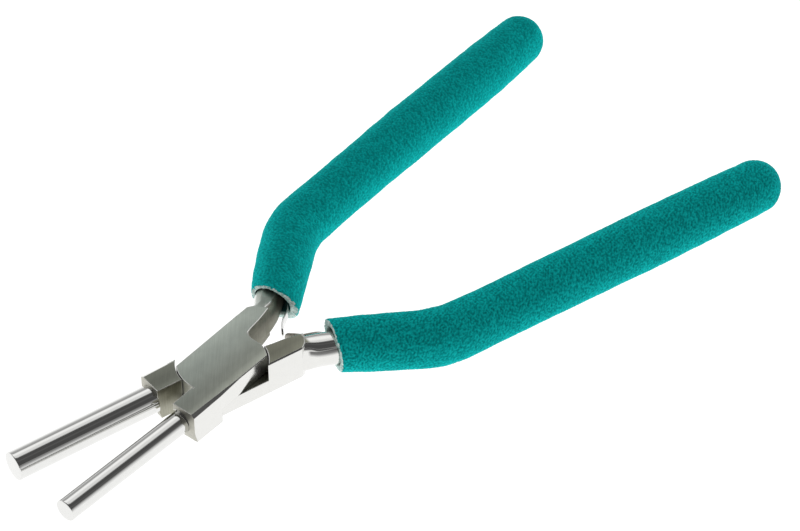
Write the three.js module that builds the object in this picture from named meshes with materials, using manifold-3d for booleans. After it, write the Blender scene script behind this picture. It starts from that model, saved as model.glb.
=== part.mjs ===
// Mandrel pliers: two lapped steel halves on a flush rivet, each with a round
// forming mandrel in its jaw block, double leaf springs and foam handle sleeves.
// Millimetres, +Z up, +X towards the mandrel tips. The origin is on the pivot
// axis, on the flush lower end of the rivet. The tool is drawn as it rests,
// sprung open.
import * as THREE from "three";
import { mergeVertices } from "three/addons/utils/BufferGeometryUtils.js";
import Module from "manifold-3d";

// ---- driving dimensions -------------------------------------------------
const OPEN_HALF_DEG = 7.07;      // each half is turned this far from closed
const HALF_T = 5.9;              // half the thickness of the head
const SPLIT_Z = -0.6;            // plane between the two laps, from mid-plane
const LAP_GAP = 0.16;            // running gap between the laps

const JAW_FRONT_X = 22.4;        // front face of the jaw blocks
const JAW_SIDE_Y = 9.2;          // outer side of the jaw blocks and laps
const JAW_INNER_Y = 0.55;        // inner side of the jaw blocks
const ROOT_SIDE_Y = 9.35;        // outer side of the handle roots, at the pivot
const ROOT_SIDE_SLOPE = 0.02;    // and its spread to the rear
const LAP_FRONT_R = 13.6;        // round front end of a lap
const JAW_SHOULDER_R = 13.9;     // hollow rear shoulder of a jaw block
const LAP_REAR_R = 13.6;         // round rear end of a lap
const ROOT_SHOULDER_R = 13.9;    // hollow shoulder of a handle root
const SIDE_TAPER = 0.3;          // how much the side of a lap runs in to the rear
const SMALL_SEAT_X = 21.35;      // shoulder of the small mandrel, under a lip
const LARGE_SEAT_X = 22.2;       // shoulder of the large mandrel, almost flush

const LARGE_R = 4.5;             // large mandrel, 9 mm
const SMALL_R = 3.5;             // small mandrel, 7 mm
const SHANK_WALL_SLANT = 0.07;   // lean of a shank's flat inner wall
const MANDREL_TIP_X = 69.9;      // tip plane of both mandrels
const TENON_R = 2.5;             // tenon pressed into the jaw block
const SMALL_TENON = 7.3;         // and its length
const LARGE_TENON = 8.6;
const LARGE_Y20 = 4.27;          // mandrel axis at x = 20
const LARGE_ANGLE_DEG = 0.67;
const SMALL_Y20 = 3.45;
const SMALL_ANGLE_DEG = -1.71;

const RIVET_R = 3.0;             // pivot rivet shank
const RIVET_HEAD_R = 4.0;        // its countersunk ends
const RIVET_HEAD_H = 1.0;

// Foam sleeves: x, outside radius and inward shift along the handle line; the
// last station is the centre of the round rear end. The mouth reaches forward
// by slantIn on the inner side and slantUp on the upper side, per mm.
const GRIP_TOP = {
  profile: [
    [-33.6, 7.8, 0.4], [-38, 8.15, 0.25], [-44, 8.4, 0.1], [-52, 8.65, 0], [-61, 8.85, 0], [-71, 8.8, 0],
    [-80, 8.6, 0], [-100, 8.7, 0], [-120, 8.95, 0], [-140, 8.9, 0.2], [-160, 8.85, 0.3], [-172, 8.5, 0.3], [-179.8, 8.15, 0.3],
  ],
  slantIn: 0.36, slantUp: 0.27,
};
const GRIP_BOTTOM = {
  profile: [
    [-33.85, 8.1, 0], [-38, 8.4, 0], [-44, 8.65, 0], [-52, 8.75, 0], [-61, 9.0, 0], [-71, 8.85, 0],
    [-80, 8.7, 0], [-100, 8.8, 0], [-120, 8.9, 0], [-140, 9.05, -0.15], [-160, 8.9, -0.2], [-174, 8.7, -0.2], [-182, 8.5, -0.2],
  ],
  slantIn: 0.26, slantUp: 0.04,
};
const MOUTH_SLANT_FADE = 12;     // length over which the slant dies out
const GRIP_BORE_MOUTH_A = 6.1;   // bore at the mouth: half width, half height
const GRIP_BORE_MOUTH_B = 6.5;
const GRIP_BORE_MOUTH_OUT = 0.3; // and its shift outwards, with the shank
const GRIP_BORE_R = 4.5;
const TANG_R = 4.05;
const TANG_END_X = -170;

const LEAF_T = 0.6;              // leaf spring thickness
const LEAF_H = 3.2;              // and height

const SHANK_SIDES = 48;
const GRIP_SIDES = 28;
const BORE_SIDES = 18;

const wasm = await Module();
wasm.setup();

// ---- solids and booleans ------------------------------------------------
function toManifold(geometry) {
  const g = geometry.clone();
  for (const name of Object.keys(g.attributes)) {
    if (name !== "position") g.deleteAttribute(name);
  }
  const merged = mergeVertices(g, 1e-4);
  const vertProperties = new Float32Array(merged.attributes.position.array);
  const triVerts = new Uint32Array(merged.index.array);
  return new wasm.Manifold(new wasm.Mesh({ numProp: 3, vertProperties, triVerts }));
}

function toGeometry(manifold) {
  const mesh = manifold.getMesh();
  const g = new THREE.BufferGeometry();
  const position = new Float32Array(mesh.numVert * 3);
  for (let i = 0; i < mesh.numVert; i++) {
    for (let k = 0; k < 3; k++) position[3 * i + k] = mesh.vertProperties[mesh.numProp * i + k];
  }
  g.setAttribute("position", new THREE.BufferAttribute(position, 3));
  g.setIndex(new THREE.BufferAttribute(new Uint32Array(mesh.triVerts), 1));
  g.computeVertexNormals();
  return g;
}

const union = (first, ...rest) => rest.reduce((a, b) => a.add(b), first);
const cut = (first, ...rest) => rest.reduce((a, b) => a.subtract(b), first);

// A plan outline made thick between two heights, with small bevelled edges.
function plate(points, z0, z1, bevel = 0.25) {
  const shape = new THREE.Shape(points.map(([x, y]) => new THREE.Vector2(x, y)));
  const g = new THREE.ExtrudeGeometry(shape, {
    depth: z1 - z0 - 2 * bevel,
    steps: 1,
    bevelEnabled: bevel > 0,
    bevelThickness: bevel,
    bevelSize: bevel,
    bevelOffset: -bevel,
    bevelSegments: 2,
    curveSegments: 1,
  });
  g.translate(0, 0, z0 + bevel);
  return toManifold(g);
}

// A straight prism along any line: the section is given in (across, up).
function prismAlong(section, from, to, up = new THREE.Vector3(0, 0, 1)) {
  const shape = new THREE.Shape(section.map(([a, b]) => new THREE.Vector2(a, b)));
  const length = from.distanceTo(to);
  const g = new THREE.ExtrudeGeometry(shape, { depth: length, steps: 1, bevelEnabled: false, curveSegments: 1 });
  const z = to.clone().sub(from).normalize();
  const x = new THREE.Vector3().crossVectors(up, z).normalize();
  const y = new THREE.Vector3().crossVectors(z, x);
  g.applyMatrix4(new THREE.Matrix4().makeBasis(x, y, z).setPosition(from));
  return toManifold(g);
}

// A round body from a lathe profile of (radius, height), set along a line.
function turned(profile, sides, from, direction) {
  const g = new THREE.LatheGeometry(profile.map(([r, h]) => new THREE.Vector2(r, h)), sides);
  const q = new THREE.Quaternion().setFromUnitVectors(new THREE.Vector3(0, 1, 0), direction.clone().normalize());
  g.applyQuaternion(q);
  g.translate(from.x, from.y, from.z);
  return toManifold(g);
}

// A body lofted through sections that stand square to a line in plan.
// Each section: {x, y, dir, ring}, ring = list of [across, up, along].
function loft(sections) {
  const position = [];
  const index = [];
  const n = sections[0].ring.length;
  for (const s of sections) {
    const nx = Math.sin(s.dir), ny = -Math.cos(s.dir); // across, to the right of travel
    for (const [a, b, w = 0] of s.ring) position.push(s.x + a * nx - w * ny, s.y + a * ny + w * nx, b);
  }
  for (let i = 0; i < sections.length - 1; i++) {
    for (let k = 0; k < n; k++) {
      const a = i * n + k, b = i * n + ((k + 1) % n), c = a + n, d = b + n;
      index.push(a, b, c, b, d, c);
    }
  }
  for (const [end, flip] of [[0, true], [sections.length - 1, false]]) {
    const s = sections[end];
    const centre = position.length / 3;
    let ma = 0, mb = 0, mw = 0;
    for (const [a, b, w = 0] of s.ring) { ma += a / n; mb += b / n; mw += w / n; }
    const nx = Math.sin(s.dir), ny = -Math.cos(s.dir);
    position.push(s.x + ma * nx - mw * ny, s.y + ma * ny + mw * nx, mb);
    for (let k = 0; k < n; k++) {
      const a = end * n + k, b = end * n + ((k + 1) % n);
      if (flip) index.push(centre, b, a); else index.push(centre, a, b);
    }
  }
  const g = new THREE.BufferGeometry();
  g.setAttribute("position", new THREE.BufferAttribute(new Float32Array(position), 3));
  g.setIndex(index);
  let m = toManifold(g);
  if (m.volume() < 0) {
    for (let i = 0; i < index.length; i += 3) [index[i + 1], index[i + 2]] = [index[i + 2], index[i + 1]];
    g.setIndex(index);
    m = toManifold(g);
  }
  return m;
}

// Superellipse ring: half width a, half height b, exponent e, centre offset.
function ring(sides, a, b, e = 2, across = 0, up = 0) {
  const out = [];
  for (let k = 0; k < sides; k++) {
    const t = ((k + 0.5) / sides) * 2 * Math.PI;
    const c = Math.cos(t), s = Math.sin(t);
    const x = a * Math.sign(c) * Math.abs(c) ** (2 / e);
    const z = b * Math.sign(s) * Math.abs(s) ** (2 / e);
    out.push([across + x, up + z]);
  }
  return out;
}

// Rows of numbers, with more rows run smoothly between them.
function smoothRows(rows, steps) {
  const out = [];
  for (let i = 0; i < rows.length - 1; i++) {
    const p0 = rows[Math.max(0, i - 1)], p1 = rows[i], p2 = rows[i + 1], p3 = rows[Math.min(rows.length - 1, i + 2)];
    for (let k = 0; k < steps; k++) {
      const f = k / steps;
      out.push(p1.map((_, j) => {
        const m1 = (p2[j] - p0[j]) / 2, m2 = (p3[j] - p1[j]) / 2;
        return (2 * f ** 3 - 3 * f ** 2 + 1) * p1[j] + (f ** 3 - 2 * f ** 2 + f) * m1
          + (3 * f ** 2 - 2 * f ** 3) * p2[j] + (f ** 3 - f ** 2) * m2;
      }));
    }
  }
  out.push(rows[rows.length - 1]);
  return out;
}

// Section of a shank: ground flat on one face and full-cornered on the other,
// with a flat, slightly leaning inner wall for the leaf spring.
function shankRing(sides, a, bFlat, bRound, e, flat, wall, outA, outRound, outFlat) {
  const out = [];
  for (let k = 0; k < sides; k++) {
    const t = ((k + 0.5) / sides) * 2 * Math.PI;
    const c = Math.cos(t), s = Math.sin(t);
    const power = c > 0 ? e : s > 0 ? outFlat : outRound;
    const z = Math.min(flat, (s > 0 ? bFlat : -bRound) * Math.abs(s) ** (2 / power));
    const x = Math.min(wall + SHANK_WALL_SLANT * (flat - z), (c > 0 ? a : -outA) * Math.abs(c) ** (2 / power));
    out.push([x, z]);
  }
  return out;
}

// ---- handle line --------------------------------------------------------
// Plan line of a handle in the half's own closed frame, for the half whose
// handle lies at -Y; the other half is its mirror image.
const AXIS_POINTS = [
  [-30, -6.95], [-36.5, -10.85], [-45, -15.95], [-52, -20.15], [-57, -23.05], [-61, -24.8],
  [-65.5, -25.95], [-71, -26.35], [-80, -26.75], [-100, -27.35], [-120, -27.95], [-140, -28.4],
  [-160, -28.9], [-175, -29.3], [-190, -29.7],
];
const axisCurve = new THREE.CatmullRomCurve3(
  AXIS_POINTS.map(([x, y]) => new THREE.Vector3(x, y, 0)), false, "centripetal");
const AXIS_LENGTH = axisCurve.getLength();
function axisAtX(x) {
  let lo = 0, hi = 1;
  for (let i = 0; i < 40; i++) {
    const mid = (lo + hi) / 2;
    if (axisCurve.getPointAt(mid).x > x) lo = mid; else hi = mid;
  }
  return (lo + hi) / 2;
}
function station(u, s) {
  const p = axisCurve.getPointAt(Math.min(1, Math.max(0, u)));
  const t = axisCurve.getTangentAt(Math.min(1, Math.max(0, u)));
  return { x: p.x, y: -s * -p.y, dir: Math.atan2(s * t.y, t.x) };
}

// ---- one forged half ----------------------------------------------------
// s = 1: jaw at +Y, handle at -Y. s = -1: the mirror image in plan.
function arc(r, a0, a1, n) {
  return Array.from({ length: n + 1 }, (_, i) => {
    const t = a0 + ((a1 - a0) * i) / n;
    return [r * Math.cos(t), r * Math.sin(t)];
  });
}

function forging(s, lapLow, lapHigh, mandrel, rivetHoleR) {
  const H = HALF_T;
  const P = (points) => points.map(([x, y]) => [x, s * y]);
  const side = (x) => ROOT_SIDE_Y - ROOT_SIDE_SLOPE * x;

  // jaw block, full thickness
  const jawOut = (x) => JAW_SIDE_Y;
  const a1 = Math.asin(JAW_SIDE_Y / JAW_SHOULDER_R);
  const a0 = Math.asin(JAW_INNER_Y / JAW_SHOULDER_R);
  const jaw = plate(P([
    [JAW_FRONT_X + 0.05, JAW_INNER_Y + 0.2],
    [JAW_FRONT_X + 0.15, jawOut(JAW_FRONT_X)],
    ...arc(JAW_SHOULDER_R, a1, a0, 14),
  ]), -H, H, 0.2);

  // lap plate, with its round front end on the handle side
  const f0 = -Math.asin(side(10.5) / LAP_FRONT_R);
  const f1 = Math.asin((JAW_INNER_Y + 0.4) / LAP_FRONT_R);
  const r0 = Math.PI - Math.asin(JAW_SIDE_Y / LAP_REAR_R);
  const r1 = Math.PI - Math.asin(5.2 / LAP_REAR_R);
  const lap = plate(P([
    ...arc(LAP_FRONT_R, f0, f1, 18),
    [16.5, 2.0],
    [16.5, JAW_SIDE_Y],
    ...arc(LAP_REAR_R, r0, r1, 6),
    [-12.98, 4.0],
    [-12.92, 2.6],
    [-12.93, 1.2],
    [-13.05, 0.0],
    [-13.35, -1.1],
    [-13.9, -2.0],
    [-14.75, -2.62],
    [-16.2, -2.9],
    [-18.2, -3.2],
    [-18.2, -side(-18.2)],
  ]), lapLow, lapHigh, 0.2);

  // handle root, full thickness, behind its hollow shoulder
  const q0 = Math.PI + Math.asin(2.1 / ROOT_SHOULDER_R);
  const q1 = Math.PI + Math.asin(side(-10.3) / ROOT_SHOULDER_R);
  const root = plate(P([
    ...arc(ROOT_SHOULDER_R, q0, q1, 12),
    [-22.3, -side(-22.3)],
    [-23.6, -8.95],
    [-24.6, -8.0],
    [-25.6, -6.2],
    [-26.3, -4.42],
    [-25.2, -4.14],
    [-23.8, -3.8],
    [-22.0, -3.42],
    [-20.2, -3.1],
    [-18.4, -2.85],
    [-16.6, -2.65],
  ]), -H, H, 0.3);

  // shank and tang, lofted: root end, polished neck, mouth, tang in the sleeve
  const sections = [];
  const neck = [
    // x, y, heading, half width, half height on the flat and on the full
    // face, exponent, flat, inner wall, then outside: half width and the
    // exponents towards the full and the flat face
    [-18.5, -6.2, 183, 3.1, 5.3, 5.3, 3.0, 5.3, 2.3, 3.1, 3.0, 3.0],
    [-22.5, -6.5, 187, 3.25, 5.6, 5.6, 2.8, 5.6, 2.0, 3.25, 2.8, 2.8],
    [-25.2, -6.95, 192, 3.6, 5.85, 5.85, 2.5, 5.75, 2.6, 4.0, 2.8, 2.3],
    [-27.5, -7.6, 199, 3.85, 5.75, 5.85, 2.3, 5.4, 2.85, 4.95, 2.9, 1.8],
    [-30.0, -8.6, 206, 4.05, 5.65, 5.85, 2.2, 5.1, 2.85, 5.25, 2.9, 1.7],
    [-33.0, -10.2, 210, 4.15, 5.6, 5.75, 2.15, 5.0, 2.85, 5.0, 2.6, 1.7],
    [-36.6, -12.0, 211, 4.15, 5.4, 5.45, 2.1, 4.9, 2.9, 4.55, 2.15, 1.8],
    [-41.0, -14.35, 211, 4.2, 5.0, 5.05, 2.1, 4.8, 3.0, 4.25, 2.05, 2.0],
    [-45.5, -16.8, 211, 4.15, 4.6, 4.6, 2.0, 4.6, 3.2, 4.15, 2.0, 2.0],
  ];
  // the upper shank is ground slimmer on its outer side, close to the head
  if (s > 0) [3.1, 3.2, 3.4, 3.85, 4.55, 4.85].forEach((a, i) => { neck[i][9] = a; });
  for (const [x, y, deg, ...shape] of smoothRows(neck, 3)) {
    // the lower half is otherwise the same forging turned over
    const section = shankRing(SHANK_SIDES, ...shape).map(([p, q]) => [s * p, s * q]);
    sections.push({ x, y: s * y, dir: s * (deg * Math.PI) / 180, ring: section });
  }
  const uMouth = axisAtX(-52), uEnd = axisAtX(TANG_END_X);
  for (let i = 0; i <= 11; i++) {
    const f = i / 11;
    const u = uMouth + (uEnd - uMouth) * (f < 0.4 ? f * 0.55 : 0.22 + (f - 0.4) * 1.3);
    const st = station(u, s);
    const r = i === 11 ? TANG_R - 1.2 : TANG_R;
    sections.push({ ...st, ring: ring(SHANK_SIDES, r, r, 2).map(([p, q]) => [s * p, s * q]) });
  }
  let body = union(jaw, lap, root, loft(sections));

  // the jaw front runs back towards its lower edge
  const far = 14;
  const frontCut = prismAlong(
    [[-1, -H - 1], [-1, -0.9], [0, -0.9], [0.25, -2.4], [0.65, -3.8], [1.05, -5.4], [1.2, -H], [1.45, -H - 1]],
    new THREE.Vector3(JAW_FRONT_X + 0.15, -far, 0), new THREE.Vector3(JAW_FRONT_X + 0.15, far, 0));
  body = cut(body, frontCut);

  // the side of the lap runs in a little to the rear
  const zEdge = lapHigh > H - 0.01 ? H : -H;
  const k = Math.sign(zEdge);
  const rearY = JAW_SIDE_Y - SIDE_TAPER;
  body = cut(body, plate(P([[11, JAW_SIDE_Y], [2, rearY], [-16, rearY], [-16, 13], [11, 13]]), -H - 1, H + 1, 0));

  // chamfer along the side edge of the plate, narrowing to the rear, and a
  // narrow one along the same side of the jaw block on its other face
  body = cut(body,
    chamfer(s, k, [26, 7.95, JAW_SIDE_Y, 1.1], [2, 8.62, rearY, 0.25]),
    chamfer(s, k, [2, 8.62, rearY, 0.25], [-16, 8.64, rearY, 0.22]),
    chamfer(s, -k, [26, 8.1, JAW_SIDE_Y, 0.5], [8, 8.5, JAW_SIDE_Y, 0.4]),
    chamfer(-s, -k, [-9, side(-9) - 0.42, side(-9), 0.4], [-22.6, side(-22.6) - 0.42, side(-22.6), 0.4]),
    shoulderBreak(s, -k));

  // bore for the mandrel's tenon, and the shallow seat round its shoulder
  const { seat, direction, tenon, r } = mandrel;
  body = cut(body,
    turned([[0, -tenon - 0.3], [TENON_R + 0.06, -tenon - 0.3], [TENON_R + 0.06, 6], [0, 6]], 32, seat, direction),
    turned([[0, -0.03], [r + 0.05, -0.03], [r + 0.05, 6], [0, 6]], 48, seat, direction));
  // the small mandrel's seat opens upwards
  if (s > 0) body = cut(body, seatRelief(seat, direction, r));

  // rivet hole, countersunk at the outer face of this lap
  const out = zEdge;
  const hole = turned(
    k > 0
      ? [[0, -H - 1], [rivetHoleR, -H - 1], [rivetHoleR, out - RIVET_HEAD_H], [RIVET_HEAD_R + rivetHoleR - RIVET_R, out], [RIVET_HEAD_R + rivetHoleR - RIVET_R, out + 1], [0, out + 1]]
      : [[0, out - 1], [RIVET_HEAD_R + rivetHoleR - RIVET_R, out - 1], [RIVET_HEAD_R + rivetHoleR - RIVET_R, out], [rivetHoleR, out + RIVET_HEAD_H], [rivetHoleR, H + 1], [0, H + 1]],
    48, new THREE.Vector3(0, 0, 0), new THREE.Vector3(0, 1, 0));
  body = cut(body, rotateUp(hole));
  return body;
}

// A tapering chamfer between two stations: x, where it starts on the face,
// where it meets the side, and its depth there.
function chamfer(s, k, ...stations) {
  const H = HALF_T;
  const points = [];
  for (const [x, onFace, onSide, depth] of stations) {
    const slope = depth / (onSide - onFace);
    points.push([x, s * (onFace - 0.01 / slope), k * (H + 0.01)], [x, s * (onSide + 1.5), k * (H + 0.01)], [x, s * (onSide + 1.5), k * (H - depth - 1.5 * slope)]);
  }
  return wasm.Manifold.hull(points);
}

// The broken edge of the jaw block's hollow shoulder, widest at the outer side.
function shoulderBreak(s, k) {
  const H = HALF_T;
  const edge = (y) => Math.sqrt(JAW_SHOULDER_R ** 2 - y ** 2);
  const wide = edge(9.4) + 0.85, narrow = edge(5.8);
  const points = [];
  for (const [x, y, depth] of [[wide, 9.4, 0], [wide - 1.53, 9.4, 1.08], [narrow, 5.8, 0]]) {
    points.push([x, s * y, k * (H - depth)], [x, s * y, k * (H + 1.5)]);
  }
  return wasm.Manifold.hull(points);
}

// A scoop over a mandrel's seat: a round opening that grows to the front,
// tangent to the mandrel's underside.
function seatRelief(seat, direction, r) {
  const points = [];
  for (const [along, lift, radius] of [[0, 0, r + 0.05], [1.4, 1.1, r + 0.1]]) {
    const c = seat.clone().addScaledVector(direction, along);
    for (let i = 0; i < 48; i++) {
      const t = (i / 48) * 2 * Math.PI;
      points.push([c.x - radius * Math.cos(t) * direction.y, c.y + radius * Math.cos(t) * direction.x, c.z + lift + radius * Math.sin(t)]);
    }
  }
  return wasm.Manifold.hull(points);
}

// a body turned about Y stood up along Z
function rotateUp(m) {
  return m.rotate([90, 0, 0]);
}

// ---- leaf spring and its rivet ------------------------------------------
// Plan line of the leaf for the half at -Y, in the open tool's frame.
const LEAF_LINE = [
  [-50.2, -22.6], [-46.0, -19.35], [-41.5, -15.8], [-37.2, -12.35], [-35.0, -10.3],
  [-33.2, -8.1], [-31.7, -6.4], [-29.8, -5.25], [-28.0, -4.2], [-26.4, -2.75], [-25.2, -1.4], [-24.5, -0.45],
];

// The lower leaf runs a little closer to its shank.
const leafCurve = (s) => new THREE.CatmullRomCurve3(
  LEAF_LINE.map(([x, y]) => new THREE.Vector3(x, s * y + (s < 0 && x > -36 && x < -27 ? 0.45 : 0), 0)), false, "centripetal");

function leaf(s) {
  const curve = leafCurve(s);
  const n = 30;
  const left = [], right = [];
  for (let i = 0; i <= n; i++) {
    const p = curve.getPointAt(i / n), t = curve.getTangentAt(i / n);
    left.push([p.x - (t.y * LEAF_T) / 2, p.y + (t.x * LEAF_T) / 2]);
    right.unshift([p.x + (t.y * LEAF_T) / 2, p.y - (t.x * LEAF_T) / 2]);
  }
  // half-round toe
  const r = LEAF_H / 2, u = 1 - r / curve.getLength();
  const p = curve.getPointAt(u), t = curve.getTangentAt(u);
  const corner = (a, b) => [p.x + a * t.x - b * t.y, p.y + a * t.y + b * t.x];
  const beyond = plate([corner(0, -2), corner(3, -2), corner(3, 2), corner(0, 2)], -r - 1, r + 1, 0);
  const disc = turned([[0, -3], [r, -3], [r, 3], [0, 3]], 48, new THREE.Vector3(p.x, p.y, 0), new THREE.Vector3(-t.y, t.x, 0));
  return { curve, solid: cut(plate([...left, ...right], -r, r, 0), cut(beyond, disc)) };
}

// ---- foam sleeve --------------------------------------------------------
function sleeve(s, { profile, slantIn, slantUp }) {
  const u0 = axisAtX(profile[0][0]), u1 = axisAtX(profile[profile.length - 1][0]);
  const size = (x) => {
    let i = 0;
    while (i < profile.length - 2 && x < profile[i + 1][0]) i++;
    const [xa, ra, sa] = profile[i], [xb, rb, sb] = profile[i + 1];
    const f = Math.min(1, Math.max(0, (xa - x) / (xa - xb)));
    const g = f * f * (3 - 2 * f);
    return [ra + (rb - ra) * g, sa + (sb - sa) * g];
  };
  // forward reach of the mouth at a point of the ring, fading with depth
  const slant = (points, depth) => {
    const fade = Math.max(0, 1 - depth / MOUTH_SLANT_FADE);
    return points.map(([a, b]) => [a, b, -fade * (slantIn * s * a + slantUp * b)]);
  };
  const sections = [];
  const N = 24;
  for (let i = 0; i <= N; i++) {
    const f = i / N;
    const u = u0 + (u1 - u0) * (f < 0.5 ? f * 0.62 : 0.31 + (f - 0.5) * 1.38);
    const st = station(u, s);
    const [r, shift] = size(axisCurve.getPointAt(u).x);
    sections.push({ ...st, ring: slant(ring(GRIP_SIDES, r, r, 2, s * shift), (u - u0) * AXIS_LENGTH) });
  }
  const last = sections[sections.length - 1];
  const [, R, endShift] = profile[profile.length - 1];
  for (let i = 1; i <= 7; i++) {
    const t = (i / 7) * (Math.PI / 2) * 0.985;
    const d = R * Math.sin(t);
    sections.push({ x: last.x + d * Math.cos(last.dir), y: last.y + d * Math.sin(last.dir), dir: last.dir, ring: ring(GRIP_SIDES, R * Math.cos(t), R * Math.cos(t), 2, s * endShift) });
  }
  const outer = loft(sections);
  // bore, open at the mouth
  const bores = [];
  const first = station(u0, s);
  const mouth = ring(BORE_SIDES, GRIP_BORE_MOUTH_A, GRIP_BORE_MOUTH_B, 2, -s * GRIP_BORE_MOUTH_OUT);
  bores.push({ x: first.x - 6 * Math.cos(first.dir), y: first.y - 6 * Math.sin(first.dir), dir: first.dir, ring: mouth });
  bores.push({ ...first, ring: mouth });
  const depth = [[-39, 6.15], [-47, 5.8], [-51.5, 5.2], [-56, GRIP_BORE_R], [-60, GRIP_BORE_R], [-64, GRIP_BORE_R], [-69, GRIP_BORE_R], [-80, GRIP_BORE_R], [-105, GRIP_BORE_R], [-130, GRIP_BORE_R], [-155, GRIP_BORE_R], [TANG_END_X - 1.2, GRIP_BORE_R]];
  for (const [x, r] of depth) bores.push({ ...station(axisAtX(x), s), ring: ring(BORE_SIDES, r, r) });
  return cut(outer, loft(bores));
}

// ---- the pieces ---------------------------------------------------------
const rad = (d) => (d * Math.PI) / 180;
function mandrelPlace(s, y20, angleDeg, r, seatX, tenon) {
  // axis passes through (20, y20); a positive lean runs away from the other jaw
  const direction = new THREE.Vector3(Math.cos(rad(angleDeg)), s * Math.sin(rad(angleDeg)), 0);
  const at = (x) => new THREE.Vector3(x, s * (y20 + (x - 20) * Math.tan(rad(angleDeg))), 0);
  return { direction, seat: at(seatX), tip: at(MANDREL_TIP_X), r, tenon };
}
const small = mandrelPlace(1, SMALL_Y20, SMALL_ANGLE_DEG, SMALL_R, SMALL_SEAT_X, SMALL_TENON);
const large = mandrelPlace(-1, LARGE_Y20, LARGE_ANGLE_DEG, LARGE_R, LARGE_SEAT_X, LARGE_TENON);

function mandrel(place) {
  const { r, tenon } = place;
  const L = place.seat.distanceTo(place.tip);
  const b = 0.3;
  return turned([
    [0, -tenon], [TENON_R - 0.4, -tenon], [TENON_R, -tenon + 0.4],
    [TENON_R, 0], [r - 0.1, 0], [r, 0.1], [r, L - b], [r - b * 0.3, L - b * 0.3], [r - b, L], [0, L],
  ], 48, place.seat, place.direction);
}

const top = new THREE.Group();
const bottom = new THREE.Group();
top.rotation.z = rad(OPEN_HALF_DEG);
bottom.rotation.z = -rad(OPEN_HALF_DEG);
const tool = new THREE.Group();
tool.position.z = HALF_T;
tool.add(top, bottom);

const steelBrushed = () => new THREE.MeshStandardMaterial({ color: 0x9b9a95, roughness: 0.38, metalness: 1 });
const steelPolished = () => new THREE.MeshStandardMaterial({ color: 0xc9c9c6, roughness: 0.12, metalness: 1 });
const springSteel = () => new THREE.MeshStandardMaterial({ color: 0xb4b4b0, roughness: 0.25, metalness: 1 });
const foam = () => new THREE.MeshStandardMaterial({ color: 0x12807e, roughness: 0.92, metalness: 0 });

function add(group, name, manifold, material) {
  const mesh = new THREE.Mesh(toGeometry(manifold), material);
  mesh.name = name;
  group.add(mesh);
  return mesh;
}

const splitTop = SPLIT_Z + LAP_GAP / 2, splitBottom = SPLIT_Z - LAP_GAP / 2;

// leaf springs are drawn in the open tool's frame, then turned back into
// their half's own frame so that they ride in its group
const leafTop = leaf(1), leafBottom = leaf(-1);
const topLeafSolid = leafTop.solid.rotate([0, 0, -OPEN_HALF_DEG]);
const bottomLeafSolid = leafBottom.solid.rotate([0, 0, OPEN_HALF_DEG]);

function springRivet(leafData, s) {
  // at the leaf's foot, through the leaf into the handle
  const u = 0.2;
  const p = leafData.curve.getPointAt(u), t = leafData.curve.getTangentAt(u);
  const n = new THREE.Vector3(-t.y * s, t.x * s, 0); // away from the handle
  const w = new THREE.Vector3(p.x, p.y, 0).addScaledVector(n, LEAF_T / 2 + 0.06);
  const back = -s * OPEN_HALF_DEG;
  const solid = turned([[0, -3.2], [0.85, -3.2], [0.85, 0], [1.6, 0], [1.5, 0.35], [1.05, 0.7], [0.45, 0.85], [0, 0.87]], 24, w, n).rotate([0, 0, back]);
  const clear = turned([[0, -3.5], [0.95, -3.5], [0.95, 1.5], [0, 1.5]], 24, w, n).rotate([0, 0, back]);
  return { solid, clear };
}
const rivetTop = springRivet(leafTop, 1), rivetBottom = springRivet(leafBottom, -1);

// room for the leaf's foot against the handle's flat inner side
function leafRoom(s) {
  const curve = leafCurve(s);
  const left = [], right = [];
  for (let i = 0; i <= 14; i++) {
    const u = (i / 14) * 0.62;
    const p = curve.getPointAt(u), t = curve.getTangentAt(u);
    const inner = s * (LEAF_T / 2 + 0.08), outer = s * 4;
    left.push([p.x + t.y * inner, p.y - t.x * inner]);
    right.unshift([p.x - t.y * outer, p.y + t.x * outer]);
  }
  return plate([...left, ...right], -8, 8, 0).rotate([0, 0, -s * OPEN_HALF_DEG]);
}

let topHalf = forging(1, splitTop, HALF_T, small, RIVET_R + 0.05);
let bottomHalf = forging(-1, -HALF_T, splitBottom, large, RIVET_R + 0.1);
topHalf = cut(topHalf, leafRoom(1), rivetTop.clear);
bottomHalf = cut(bottomHalf, leafRoom(-1), rivetBottom.clear);

const grips = [sleeve(1, GRIP_TOP), sleeve(-1, GRIP_BOTTOM)];

add(top, "top_half", topHalf, steelBrushed());
add(top, "small_mandrel", mandrel(small), steelPolished());
add(top, "leaf_spring_top", cut(topLeafSolid, rivetTop.clear), springSteel());
add(top, "spring_rivet_top", rivetTop.solid, springSteel());
add(top, "foam_grip_top", grips[0], foam());
add(top, "pivot_rivet", rotateUp(turned([
  [0, -HALF_T], [RIVET_HEAD_R, -HALF_T], [RIVET_R, -HALF_T + RIVET_HEAD_H],
  [RIVET_R, HALF_T - RIVET_HEAD_H], [RIVET_HEAD_R, HALF_T], [0, HALF_T],
], 48, new THREE.Vector3(0, 0, 0), new THREE.Vector3(0, 1, 0))), steelBrushed());

add(bottom, "bottom_half", bottomHalf, steelBrushed());
add(bottom, "large_mandrel", mandrel(large), steelPolished());
add(bottom, "leaf_spring_bottom", cut(bottomLeafSolid, rivetBottom.clear), springSteel());
add(bottom, "spring_rivet_bottom", rivetBottom.solid, springSteel());
add(bottom, "foam_grip_bottom", grips[1], foam());

export default tool;
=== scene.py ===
import math

import bmesh
import bpy
import numpy as np
from mathutils import Matrix, Vector


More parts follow.
